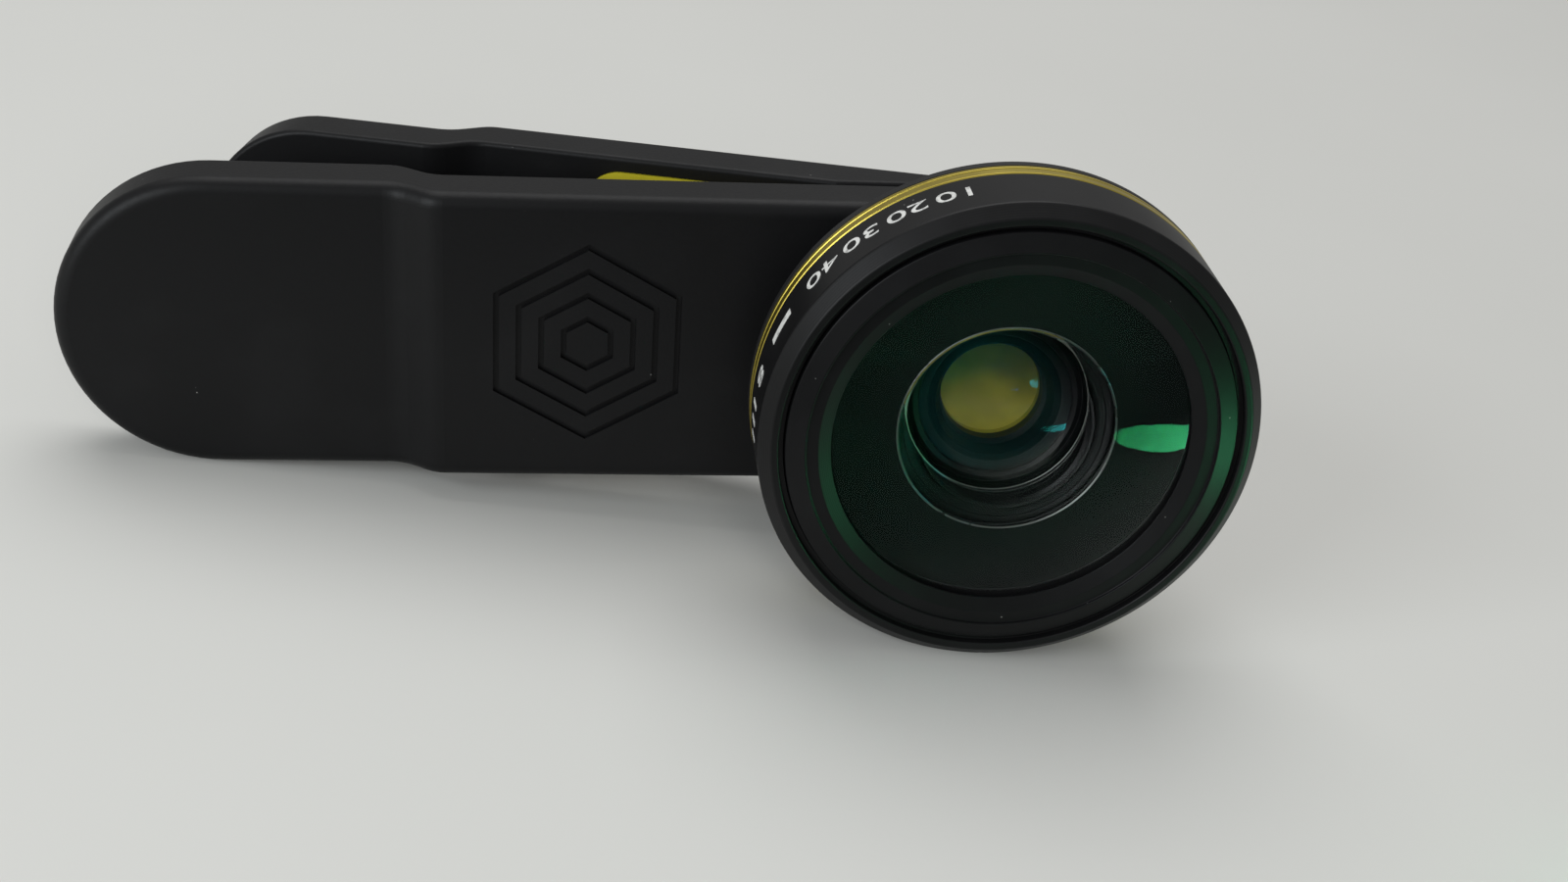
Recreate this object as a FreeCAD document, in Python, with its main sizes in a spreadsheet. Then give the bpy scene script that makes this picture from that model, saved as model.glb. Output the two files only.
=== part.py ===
import FreeCAD, Part
import Sketcher
import math
import os
import re

# A clip-on wide-angle lens for a phone: a peg-style clip of two joggled arms on a sprung hinge, with a
# turned lens screwed into the front arm.
#
# Clip frame, in millimetres: X runs along the arms towards the lens, Y runs backwards through the arms, and
# Z runs across them. The lens axis is the line x = 0, z = 0, and y = 0 is the front arm's outer jaw face.
# A depth inside the lens is counted forwards from that face, so a depth is the opposite of y.

SIZES = {
    # Arms
    "arm_width": 21.0,
    "arm_thick": 4.0,
    "handle_reach": 51.8,      # lens axis to the centre of the front handle's round end
    "rear_reach": 46.5,        # lens axis to the centres of the rear handle's corners, arms parallel
    "rear_corner": 8.0,
    "joggle_gap": 7.4,         # hinge to the middle of the front arm's joggle
    "rear_joggle_gap": 5.6,
    "joggle_run": 2.4,
    "joggle_step": 1.6,
    "joggle_round": 2.6,
    "edge_round": 1.0,
    "inner_round": 0.35,
    # Hinge
    "vee": 13.5,               # degrees between the arms with the jaws shut
    "jaw_gap": 0.4,            # between the two arms at the jaw tip
    "hinge_back": 31.0,        # lens axis to hinge
    "tip_thick": 2.4,
    "knuckle_clear": 0.23,     # ears to the other arm's inner face
    "ear_margin": 2.4,         # outer ears to the arm's edge
    "ear_width": 1.4,
    "ear_gap": 0.12,
    "pin_radius": 1.0,
    "pin_play": 0.04,
    # Spring
    "wire_radius": 0.45,
    "coil_play": 0.5,          # pin to the coil's inside
    "coil_clear": 0.28,        # coil's outside to the arms' inner faces
    "coil_turns": 5.0,
    "coil_gap": 0.1,
    "leg_length": 15.0,
    "leg_play": 0.15,
    # Jaw pads
    "pad_margin": 1.1,         # pad to the arm's edge
    "pad_tail_gap": 1.0,       # pad's tail to the ears
    "pad_corner": 2.6,
    "pad_thick": 1.15,
    "pad_proud": 0.15,
    "pad_play": 0.05,
    # Threaded insert and seat
    "pad_lap": 0.2,            # pad over the insert's flange
    "flange_step": 0.6,
    "flange_thick": 0.6,
    "insert_wall": 1.1,
    "insert_gap": 0.1,         # insert to the pad's back
    "insert_play": 0.02,
    "thread_play": 0.05,
    "stub_short": 0.6,         # stub's end short of the insert's back
    "seat_width": 1.9,
    "seat_thick": 0.6,
    # Rear housing
    "neck_lap": 0.4,
    "neck_length": 1.3,
    "bell_length": 4.4,
    "bell_land": 0.6,
    "accent_thick": 1.4,
    "spigot_length": 2.5,
    "spigot_wall": 1.0,
    "ring_play": 0.04,
    # Front barrel
    "barrel_radius": 16.3,
    "barrel_wall": 1.4,
    "rim_width": 0.8,
    "rim_drop": 0.85,
    "face_width": 0.5,
    "groove_width": 0.4,
    "groove_depth": 0.6,
    "web_lap": 1.35,           # lip that the front element rests on
    "web_thick": 0.56,
    "fine_chamfer": 0.15,
    # Front retaining ring
    "ring_slope": 1.3,
    "ring_flat": 0.8,
    "ring_lip": 0.5,
    "ring_lip_drop": 0.5,
    "ring_lip_thick": 0.5,
    "ring_set_back": 0.2,
    "ring_crest_rise": 0.25,
    "ring_shoulder_drop": 1.1,
    # Front element and gasket
    "gasket_width": 0.95,
    "gasket_thick": 0.5,
    "glass_play": 0.15,
    "glass_shoulder": 2.4,
    "glass_edge_rise": 0.8,
    "dome_height": 2.4,
    "hollow_margin": 5.0,
    "hollow_height": 3.4,
    # Inner optics
    "stub_wall": 1.06,
    "rear_lip": 0.95,
    "flint_back": 1.0,         # doublet's back face behind the arm's face
    "cement_edge": 1.6,
    "cement_sag": 1.82,
    "crown_rim": 0.6,
    "crown_sag": 1.31,
    "spacer_wall": 0.75,
    "spacer_height": 2.2,
    "middle_step": 1.6,
    "middle_thick": 1.8,
    "middle_lip": 1.15,
    "middle_sag": 1.08,
    "lock_ring_thick": 0.7,
    "lock_chamfer": 0.4,
    "baffle_lip": 0.6,
    "baffle_thick": 0.6,
    # Engraved ornament on the front arm
    "ornament_back": 26.8,     # lens axis to its middle
    "ornament_radius": 7.3,
    "ornament_line": 0.45,
    "ornament_spacing": 1.75,
    "ornament_depth": 0.3,
}
ORNAMENT_RINGS = 4

# What follows from the sizes. Radii are about the lens axis, and depths are in front of the arm's face.
DERIVED = {
    # Hinge, from the pin outwards: the coil lies round the pin and just clears both arms
    "coil_radius": "pin_radius + coil_play + wire_radius",
    "coil_pitch": "2 * wire_radius + coil_gap",
    "coil_sweep": "floor(coil_turns) + 0.5 - vee / 360",
    "hinge_rise": "coil_radius + wire_radius + coil_clear",
    "knuckle_radius": "hinge_rise - knuckle_clear",
    "ear_inner": "arm_width / 2 - ear_margin - 2 * ear_width - ear_gap",
    "tip_bend": "hinge_back - (hinge_rise * (1 + 1 / cos(vee)) - jaw_gap) / tan(vee)",
    "joggle_back": "hinge_back + joggle_gap",
    # Pads and insert, from the arm's edge inwards
    "pad_radius": "arm_width / 2 - pad_margin",
    "pad_back": "hinge_back - knuckle_radius - pad_tail_gap",
    "insert_flange": "pad_radius - pad_lap",
    "insert_radius": "insert_flange - flange_step",
    "thread_radius": "insert_radius - insert_wall",
    "insert_depth": "arm_thick + pad_proud - pad_thick - insert_gap",
    "stub_length": "insert_depth - stub_short",
    "seat_radius": "thread_radius + seat_width",
    "neck_radius": "seat_radius + neck_lap",
    # Barrel and front ring, from the barrel's wall inwards
    "spigot_radius": "barrel_radius - barrel_wall",
    "face_radius": "barrel_radius - rim_width",
    "groove_radius": "face_radius - face_width",
    "ring_radius": "groove_radius - groove_width",
    "ring_crest_radius": "ring_radius - ring_slope",
    "ring_flat_radius": "ring_crest_radius - ring_flat",
    "ring_lip_radius": "ring_flat_radius - ring_lip",
    "front_glass_radius": "ring_lip_radius + gasket_width",
    "front_clear_radius": "ring_lip_radius - glass_play",
    "web_radius": "front_glass_radius - web_lap",
    "front_hollow_radius": "web_radius - hollow_margin",
    # Depths along the lens, from the arm forwards
    "neck_depth": "seat_thick + neck_length",
    "bell_depth": "neck_depth + bell_length",
    "accent_depth": "bell_depth + bell_land",
    "accent_front": "accent_depth + accent_thick",
    "spigot_front": "accent_depth + spigot_length",
    "baffle_seat": "spigot_front - baffle_lip",
    "front_glass_back": "spigot_front + ring_play + web_thick",
    "front_glass_step": "front_glass_back + glass_shoulder",
    "gasket_front": "front_glass_step + gasket_thick",
    "face_depth": "gasket_front + ring_lip_thick + ring_lip_drop",
    "rim_depth": "face_depth - rim_drop",
    "ring_edge_depth": "face_depth - ring_set_back",
    "ring_crest_depth": "face_depth + ring_crest_rise",
    "ring_shoulder": "front_glass_step - ring_shoulder_drop",
    "front_apex_depth": "front_glass_step + glass_edge_rise + dome_height",
    # Inner optics
    "doublet_radius": "thread_radius - thread_play - stub_wall - ring_play",
    "rear_bore": "doublet_radius - rear_lip",
    "pad_hole": "rear_bore",
    "crown_edge": "cement_edge + crown_rim",
    "middle_seat": "crown_edge + spacer_height",
    "middle_front": "middle_seat + middle_thick",
    "middle_radius": "doublet_radius + middle_step",
    "middle_clear": "middle_radius - middle_lip",
    "lock_front": "middle_front + lock_ring_thick",
    "baffle_radius": "spigot_radius - spigot_wall",
}

# Places worked out from the sizes, as formulas
HALF_WIDTH = "arm_width / 2"
HINGE_Y = "(arm_thick + hinge_rise)"
SHUT_DROP = "(hinge_rise - jaw_gap)"
REAR_INNER = f"({HINGE_Y} + hinge_rise)"
JOGGLE_NEAR = "-joggle_back + joggle_run / 2"
JOGGLE_FAR = "-joggle_back - joggle_run / 2"
REAR_JOGGLE_NEAR = "-hinge_back - rear_joggle_gap + joggle_run / 2"
REAR_JOGGLE_FAR = "-hinge_back - rear_joggle_gap - joggle_run / 2"
COIL_LENGTH = "coil_pitch * coil_sweep"
LEG_DRIFT = "leg_length * coil_pitch / (2 * pi * coil_radius)"
LEG_Z_NEAR = f"({COIL_LENGTH} / 2 - wire_radius - leg_play)"
LEG_Z_FAR = f"({COIL_LENGTH} / 2 + {LEG_DRIFT} + wire_radius + leg_play)"
OVERSHOOT = "4 * arm_thick"

doc = FreeCAD.newDocument("clip_on_lens")
sheet = doc.addObject("Spreadsheet::Sheet", "sizes")
for row, (word, number) in enumerate(SIZES.items(), start=1):
    sheet.set(f"A{row}", word)
    sheet.set(f"B{row}", str(number))
    sheet.setAlias(f"B{row}", word)
doc.recompute()

SIZE_WORDS = re.compile(r"\b(" + "|".join(SIZES) + r")\b")
DERIVED_WORDS = re.compile(r"\b(" + "|".join(DERIVED) + r")\b")


def bind(formula):
    """The formula with derived names written out and each size named as its cell in the sheet."""
    while DERIVED_WORDS.search(formula):
        formula = DERIVED_WORDS.sub(lambda found: f"({DERIVED[found.group()]})", formula)
    return SIZE_WORDS.sub(r"sizes.\1", formula)


def value(formula):
    """The formula's value now."""
    return float(sheet.evalExpression(bind(formula)))


def new_body(label):
    body = doc.addObject("PartDesign::Body", label)
    body.Label = label
    return body


def new_sketch(body, name, role):
    """A sketch on one of the body's own origin planes. XZ sketches have x to the right and z up."""
    sketch = body.newObject("Sketcher::SketchObject", f"{body.Name}_{name}")
    plane = next(item for item in body.Origin.OriginFeatures if item.Role == role)
    sketch.AttachmentSupport = [(plane, "")]
    sketch.MapMode = "FlatFace"
    return sketch


def pin_point(sketch, element, end, x, y):
    """Ties one point of a sketch to two formulas."""
    for kind, formula in (("DistanceX", x), ("DistanceY", y)):
        index = sketch.addConstraint(Sketcher.Constraint(kind, -1, 1, element, end, value(formula)))
        sketch.setExpression(f"Constraints[{index}]", bind(formula))


def pin_radius(sketch, element, formula):
    index = sketch.addConstraint(Sketcher.Constraint("Radius", element, value(formula)))
    sketch.setExpression(f"Constraints[{index}]", bind(formula))


def add_outline(sketch, corners, arcs=None):
    """Closes the corners with straight lines. arcs maps a corner's number to the radius of the arc that
    leaves it, and to +1 where the arc's centre lies to the left of its chord."""
    arcs = arcs or {}
    count = len(corners)
    ends = []
    for number in range(count):
        start = FreeCAD.Vector(value(corners[number][0]), value(corners[number][1]), 0)
        stop = FreeCAD.Vector(*[value(part) for part in corners[(number + 1) % count]], 0)
        if number not in arcs:
            element = sketch.addGeometry(Part.LineSegment(start, stop))
            ends.append((element, 1, 2))
            continue
        radius_formula, side = arcs[number]
        radius = value(radius_formula)
        chord = stop - start
        across = FreeCAD.Vector(-chord.y, chord.x, 0).normalize()
        reach = math.sqrt(radius ** 2 - (chord.Length / 2) ** 2)
        centre = (start + stop) * 0.5 + across * (side * reach)
        first, last = (start, stop) if side > 0 else (stop, start)
        angles = [math.atan2(point.y - centre.y, point.x - centre.x) for point in (first, last)]
        circle = Part.Circle(centre, FreeCAD.Vector(0, 0, 1), radius)
        element = sketch.addGeometry(Part.ArcOfCircle(circle, *angles))
        pin_radius(sketch, element, radius_formula)
        ends.append((element, 1, 2) if side > 0 else (element, 2, 1))
    for number in range(count):
        element, start_end, stop_end = ends[number]
        after, after_end, _ = ends[(number + 1) % count]
        sketch.addConstraint(Sketcher.Constraint("Coincident", element, stop_end, after, after_end))
        pin_point(sketch, element, start_end, *corners[number])


def add_circle(sketch, x, y, radius):
    circle = Part.Circle(FreeCAD.Vector(value(x), value(y), 0), FreeCAD.Vector(0, 0, 1), value(radius))
    element = sketch.addGeometry(circle)
    pin_point(sketch, element, 3, x, y)
    pin_radius(sketch, element, radius)


def add_rounded(sketch, arcs):
    """Closes a ring of arcs with tangent lines. Each arc is its centre's formulas, its radius and the two
    angles, in degrees, between which it turns to the left."""
    elements, ends = [], []
    for x, y, radius, first, last in arcs:
        centre = FreeCAD.Vector(value(x), value(y), 0)
        circle = Part.Circle(centre, FreeCAD.Vector(0, 0, 1), value(radius))
        arc = Part.ArcOfCircle(circle, math.radians(first), math.radians(last))
        elements.append(sketch.addGeometry(arc))
        ends.append((arc.StartPoint, arc.EndPoint))
    for number, element in enumerate(elements):
        after = (number + 1) % len(elements)
        line = sketch.addGeometry(Part.LineSegment(ends[number][1], ends[after][0]))
        sketch.addConstraint(Sketcher.Constraint("Tangent", element, 2, line, 1))
        sketch.addConstraint(Sketcher.Constraint("Tangent", line, 2, elements[after], 1))
    for element, (x, y, radius, _, _) in zip(elements, arcs):
        pin_point(sketch, element, 3, x, y)
        pin_radius(sketch, element, radius)


def slot(low_x, high_x, radius):
    """The arcs of a round-ended slot along X between two centres."""
    return [(high_x, "0", radius, -90, 90), (low_x, "0", radius, 90, 270)]


def tongue(low_x, high_x, side, radius, corner):
    """The arcs of a tongue along X: a half circle at its high end, and corners with their centres at low_x
    and at a distance either side of the middle."""
    return [(high_x, "0", radius, -90, 90), (low_x, side, corner, 90, 180),
            (low_x, f"-{side}", corner, 180, 270)]


def pad_plan(high_x, play):
    """The arcs of a pad's plan: its half circle lies at the jaw's tip and its corners towards the hinge."""
    return tongue("-pad_back + pad_corner", high_x, "(pad_radius - pad_corner)", f"(pad_radius + {play})",
                  f"(pad_corner + {play})")


def pad(body, name, sketch, length, symmetric=True):
    feature = body.newObject("PartDesign::Pad", f"{body.Name}_{name}")
    feature.Profile = sketch
    feature.SideType = "Symmetric" if symmetric else "One side"
    feature.setExpression("Length", bind(length))
    doc.recompute()
    return feature


def pocket(body, name, sketch, length, symmetric=True, reverse=False):
    """Cuts the sketch out of the body, and stops the build if nothing is cut."""
    before = body.Shape.Volume
    feature = body.newObject("PartDesign::Pocket", f"{body.Name}_{name}")
    feature.Profile = sketch
    feature.SideType = "Symmetric" if symmetric else "One side"
    feature.Reversed = reverse
    feature.setExpression("Length", bind(length))
    doc.recompute()
    if body.Shape.Volume >= before - 1e-6:
        raise RuntimeError(f"{feature.Name} cuts nothing")
    return feature


def fillet(body, name, edges, radius):
    base = body.Tip
    feature = body.newObject("PartDesign::Fillet", f"{body.Name}_{name}")
    feature.Base = (base, edges)
    feature.setExpression("Radius", bind(radius))
    doc.recompute()
    return feature


def edges_along_z(body, x, y):
    """Names of the straight edges that run across the arm at one place of its side view."""
    place = FreeCAD.Vector(value(x), value(y), 0)
    names = []
    for number, edge in enumerate(body.Shape.Edges, start=1):
        flat = [FreeCAD.Vector(vertex.X, vertex.Y, 0) for vertex in edge.Vertexes]
        if all(point.distanceToPoint(place) < 1e-4 for point in flat):
            names.append(f"Edge{number}")
    return names


def rim_edges(body, side):
    """Names of the edges between a broad face that looks along side * Y and the wall around the arm."""
    shape = body.Shape
    normals = {}
    for face in shape.Faces:
        for edge in face.Edges:
            middle = edge.valueAt((edge.FirstParameter + edge.LastParameter) / 2)
            normal = face.normalAt(*face.Surface.parameter(middle))
            normals.setdefault(edge.hashCode(), []).append(normal.y * side)
    names = []
    for number, edge in enumerate(shape.Edges, start=1):
        slopes = sorted(normals[edge.hashCode()])
        if len(slopes) == 2 and slopes[1] > 0.5 and abs(slopes[0]) < 0.3:
            names.append(f"Edge{number}")
    return names


def trim_to(body, name, arcs):
    """Cuts away all that lies outside a rounded outline in the plan view."""
    sketch = new_sketch(body, name, "XZ_Plane")
    reach = "2 * handle_reach"
    corners = [(f"-{reach}", "-arm_width"), (reach, "-arm_width"), (reach, "arm_width"),
               (f"-{reach}", "arm_width")]
    add_outline(sketch, corners)
    add_rounded(sketch, arcs)
    pocket(body, f"{name}_cut", sketch, f"4 * ({OVERSHOOT})")


def add_arch(sketch, x, base_y, centre_y, radius):
    """A knuckle's side view: straight flanks from base_y, closed by a half circle round the hinge."""
    side = 1 if value(base_y) < value(centre_y) else -1
    corners = [(f"{x} + {radius}", base_y), (f"{x} + {radius}", centre_y), (f"{x} - {radius}", centre_y),
               (f"{x} - {radius}", base_y)]
    points = [FreeCAD.Vector(value(px), value(py), 0) for px, py in corners]
    centre = FreeCAD.Vector(value(x), value(centre_y), 0)
    circle = Part.Circle(centre, FreeCAD.Vector(0, 0, 1), value(radius))
    right = sketch.addGeometry(Part.LineSegment(points[0], points[1]))
    sweep = (0, math.pi) if side > 0 else (math.pi, 2 * math.pi)
    arc = sketch.addGeometry(Part.ArcOfCircle(circle, *sweep))
    left = sketch.addGeometry(Part.LineSegment(points[2], points[3]))
    base = sketch.addGeometry(Part.LineSegment(points[3], points[0]))
    arc_right, arc_left = (1, 2) if side > 0 else (2, 1)
    sketch.addConstraint(Sketcher.Constraint("Tangent", right, 2, arc, arc_right))
    sketch.addConstraint(Sketcher.Constraint("Tangent", arc, arc_left, left, 1))
    sketch.addConstraint(Sketcher.Constraint("Coincident", left, 2, base, 1))
    sketch.addConstraint(Sketcher.Constraint("Coincident", base, 2, right, 1))
    pin_point(sketch, arc, 3, x, centre_y)
    pin_radius(sketch, arc, radius)
    pin_point(sketch, right, 1, *corners[0])
    pin_point(sketch, left, 2, *corners[3])


def cut_box(body, name, x_range, y_range, z_range):
    """Cuts a box out of the body. Each range is a pair of formulas."""
    sketch = new_sketch(body, name, "XY_Plane")
    (low_x, high_x), (low_y, high_y) = x_range, y_range
    add_outline(sketch, [(low_x, low_y), (high_x, low_y), (high_x, high_y), (low_x, high_y)])
    sketch.AttachmentOffset = FreeCAD.Placement(FreeCAD.Vector(0, 0, value(z_range[0])), FreeCAD.Rotation())
    sketch.setExpression("AttachmentOffset.Base.z", bind(z_range[0]))
    pocket(body, f"{name}_cut", sketch, f"({z_range[1]}) - ({z_range[0]})", symmetric=False, reverse=True)


def turned(label, corners, arcs=None):
    """A piece turned about the lens axis. Each corner is a radius and a depth."""
    body = new_body(label)
    sketch = new_sketch(body, "section", "XY_Plane")
    add_outline(sketch, [(radius, f"-({depth})") for radius, depth in corners], arcs)
    feature = body.newObject("PartDesign::Revolution", f"{label}_turn")
    feature.Profile = sketch
    feature.ReferenceAxis = (sketch, ["V_Axis"])
    feature.Angle = 360
    doc.recompute()
    return body


def rear_point(along, back):
    """A place given with the jaws shut, from the hinge, as a place in the rear arm's own frame."""
    x = f"-hinge_back + ({along}) * cos(vee) - ({back}) * sin(vee)"
    y = f"{HINGE_Y} + ({along}) * sin(vee) + ({back}) * cos(vee)"
    return x, y


REAR_TIP_CENTRE = rear_point("hinge_back", f"-{SHUT_DROP} + tip_thick / 2")[0]
REAR_BEND = rear_point("hinge_back - tip_bend", f"-{SHUT_DROP}")


def add_knuckles(body, base_y, ear_low):
    """Two ears for the hinge pin, the same distance either side of the middle, with the pin's bore."""
    sketch = new_sketch(body, "ears", "XY_Plane")
    add_arch(sketch, "-hinge_back", base_y, HINGE_Y, "knuckle_radius")
    pad(body, "ears_pad", sketch, f"2 * ({ear_low} + ear_width)")
    between = new_sketch(body, "between_ears", "XY_Plane")
    inner_face = "arm_thick" if value(base_y) < value(HINGE_Y) else REAR_INNER
    far = REAR_INNER if inner_face == "arm_thick" else "arm_thick"
    reach = "(knuckle_radius + ear_gap)"
    add_outline(between, [(f"-hinge_back - {reach}", inner_face), (f"-hinge_back + {reach}", inner_face),
                          (f"-hinge_back + {reach}", far), (f"-hinge_back - {reach}", far)])
    pocket(body, "between_ears_cut", between, f"2 * ({ear_low})")
    bore = new_sketch(body, "pin_bore", "XY_Plane")
    add_circle(bore, "-hinge_back", HINGE_Y, "pin_radius + pin_play")
    pocket(body, "pin_bore_cut", bore, "2 * arm_width")


def make_front_arm():
    body = new_body("front_arm")
    end = f"-handle_reach - {HALF_WIDTH}"
    side_view = [(HALF_WIDTH, "0"), (HALF_WIDTH, "arm_thick"), (JOGGLE_NEAR, "arm_thick"),
                 (JOGGLE_FAR, "arm_thick + joggle_step"), (end, "arm_thick + joggle_step"),
                 (end, "joggle_step"),
                 (JOGGLE_FAR, "joggle_step"), (JOGGLE_NEAR, "0")]
    sketch = new_sketch(body, "side_view", "XY_Plane")
    add_outline(sketch, side_view)
    pad(body, "plate", sketch, "arm_width")
    trim_to(body, "outline", slot("-handle_reach", "0", HALF_WIDTH))
    bends = [side_view[number] for number in (2, 3, 6, 7)]
    names = [name for x, y in bends for name in edges_along_z(body, x, y)]
    fillet(body, "joggle", names, "joggle_round")
    fillet(body, "outer_edge", rim_edges(body, -1), "edge_round")
    fillet(body, "inner_edge", rim_edges(body, 1), "inner_round")
    add_knuckles(body, "arm_thick / 2", "ear_inner")
    bore = new_sketch(body, "insert_bore", "XZ_Plane")
    add_circle(bore, "0", "0", "insert_radius + insert_play")
    pocket(body, "insert_bore_cut", bore, f"2 * ({OVERSHOOT})")
    flange = new_sketch(body, "flange_seat", "XZ_Plane")
    add_circle(flange, "0", "0", "insert_flange + insert_play")
    flange_front = "insert_depth - flange_thick"
    flange.setExpression("AttachmentOffset.Base.z", bind(f"-({flange_front})"))
    pocket(body, "flange_seat_cut", flange, OVERSHOOT, symmetric=False)
    recess = new_sketch(body, "pad_recess", "XZ_Plane")
    add_rounded(recess, pad_plan("0", "pad_play"))
    recess_floor = "arm_thick + pad_proud - pad_thick"
    recess.setExpression("AttachmentOffset.Base.z", bind(f"-({recess_floor})"))
    pocket(body, "pad_recess_cut", recess, OVERSHOOT, symmetric=False)
    groove_floor = f"{HINGE_Y} - coil_radius - wire_radius - leg_play"
    cut_box(body, "spring_groove", ("-hinge_back - leg_length - 2 * wire_radius", "-hinge_back"),
            (groove_floor, HINGE_Y), (f"-{LEG_Z_FAR}", f"-{LEG_Z_NEAR}"))
    add_ornament(body)
    return body


def add_ornament(body):
    """Nested hexagon lines, sunk into the front arm's outer face."""
    sketch = new_sketch(body, "ornament", "XZ_Plane")
    for ring in range(ORNAMENT_RINGS):
        for shrink in ("0", "ornament_line"):
            radius = f"(ornament_radius - {ring} * ornament_spacing - {shrink})"
            corners = [(f"-ornament_back + {radius} * sin({60 * k})", f"{radius} * cos({60 * k})")
                       for k in range(6)]
            add_outline(sketch, corners)
    pocket(body, "ornament_cut", sketch, "2 * ornament_depth")


def make_rear_arm():
    body = new_body("rear_arm")
    end = "-rear_reach - rear_corner"
    outer = f"{REAR_INNER} + arm_thick"
    tip_along = f"hinge_back + {HALF_WIDTH}"
    outer_bend_along = f"(hinge_rise + arm_thick - (tip_thick - {SHUT_DROP}) * cos(vee)) / sin(vee)"
    outer_bend = rear_point(outer_bend_along, f"tip_thick - {SHUT_DROP}")
    side_view = [REAR_BEND, rear_point(tip_along, f"-{SHUT_DROP}"),
                 rear_point(tip_along, f"tip_thick - {SHUT_DROP}"), outer_bend,
                 (REAR_JOGGLE_NEAR, outer), (REAR_JOGGLE_FAR, f"{outer} - joggle_step"),
                 (end, f"{outer} - joggle_step"), (end, f"{REAR_INNER} - joggle_step"),
                 (REAR_JOGGLE_FAR, f"{REAR_INNER} - joggle_step"), (REAR_JOGGLE_NEAR, REAR_INNER)]
    sketch = new_sketch(body, "side_view", "XY_Plane")
    add_outline(sketch, side_view)
    pad(body, "plate", sketch, "arm_width")
    trim_to(body, "outline", tongue("-rear_reach", REAR_TIP_CENTRE, f"({HALF_WIDTH} - rear_corner)",
                                    HALF_WIDTH, "rear_corner"))
    bends = [side_view[number] for number in (3, 4, 5, 8, 9)]
    names = [name for x, y in bends for name in edges_along_z(body, x, y)]
    fillet(body, "joggle", names, "joggle_round")
    fillet(body, "outer_edge", rim_edges(body, 1), "edge_round")
    fillet(body, "inner_edge", rim_edges(body, -1), "inner_round")
    add_knuckles(body, f"{REAR_INNER} + arm_thick / 2", "ear_inner + ear_width + ear_gap")
    recess = body.newObject("PartDesign::Boolean", "rear_arm_pad_recess")
    recess.Type = "Cut"
    recess.addObject(make_rear_pad_block("rear_pad_recess", "pad_play", "arm_thick"))
    doc.recompute()
    groove_top = f"{HINGE_Y} + coil_radius + wire_radius + leg_play"
    cut_box(body, "spring_groove", ("-hinge_back - leg_length - 2 * wire_radius", "-hinge_back"),
            (HINGE_Y, groove_top), (LEG_Z_NEAR, LEG_Z_FAR))
    return body


def rear_pad_section(play, drop):
    """Side view of the rear pad, bent with the arm. drop is how far it stands out of the arm's face."""
    back = "pad_thick - pad_proud"
    tail = f"-pad_back - {play}"
    tip_along = f"hinge_back + pad_radius + {play}"
    floor_bend_along = f"(hinge_rise + {back} - ({back} - {SHUT_DROP}) * cos(vee)) / sin(vee)"
    floor_bend = rear_point(floor_bend_along, f"{back} - {SHUT_DROP}")
    face_bend_along = f"(hinge_rise - ({drop}) + (({drop}) + {SHUT_DROP}) * cos(vee)) / sin(vee)"
    face_bend = rear_point(face_bend_along, f"-({drop}) - {SHUT_DROP}")
    return [face_bend, rear_point(tip_along, f"-({drop}) - {SHUT_DROP}"),
            rear_point(tip_along, f"{back} - {SHUT_DROP}"), floor_bend,
            (tail, f"{REAR_INNER} + {back}"), (tail, f"{REAR_INNER} - ({drop})")]


def make_front_pad():
    body = new_body("front_pad")
    sketch = new_sketch(body, "plan", "XZ_Plane")
    add_rounded(sketch, pad_plan("0", "0"))
    add_circle(sketch, "0", "0", "pad_hole")
    sketch.setExpression("AttachmentOffset.Base.z", bind("-(arm_thick + pad_proud)"))
    pad(body, "sheet", sketch, "pad_thick", symmetric=False)
    return body


def make_rear_pad_block(label, play, drop):
    """A slab bent with the rear arm: its pad, or with some play, the room that the pad takes."""
    body = new_body(label)
    sketch = new_sketch(body, "side_view", "XY_Plane")
    add_outline(sketch, rear_pad_section(play, drop))
    pad(body, "sheet", sketch, f"2 * (pad_radius + {play})")
    trim_to(body, "outline", pad_plan(REAR_TIP_CENTRE, play))
    return body


def make_rear_pad():
    return make_rear_pad_block("rear_pad", "0", "pad_proud")


def sphere(height, radius):
    """Radius of the spherical face that rises by a height between its edge and its middle."""
    return f"((({radius}) ^ 2 + ({height}) ^ 2) / (2 * ({height})))"


CEMENT_APEX = "cement_edge - cement_sag"
CROWN_CURVE = sphere("crown_sag", "doublet_radius")


def make_hinge_pin():
    body = new_body("hinge_pin")
    sketch = new_sketch(body, "section", "XY_Plane")
    add_circle(sketch, "-hinge_back", HINGE_Y, "pin_radius")
    pad(body, "rod", sketch, "2 * (ear_inner + 2 * ear_width + ear_gap)")
    return body


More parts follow.
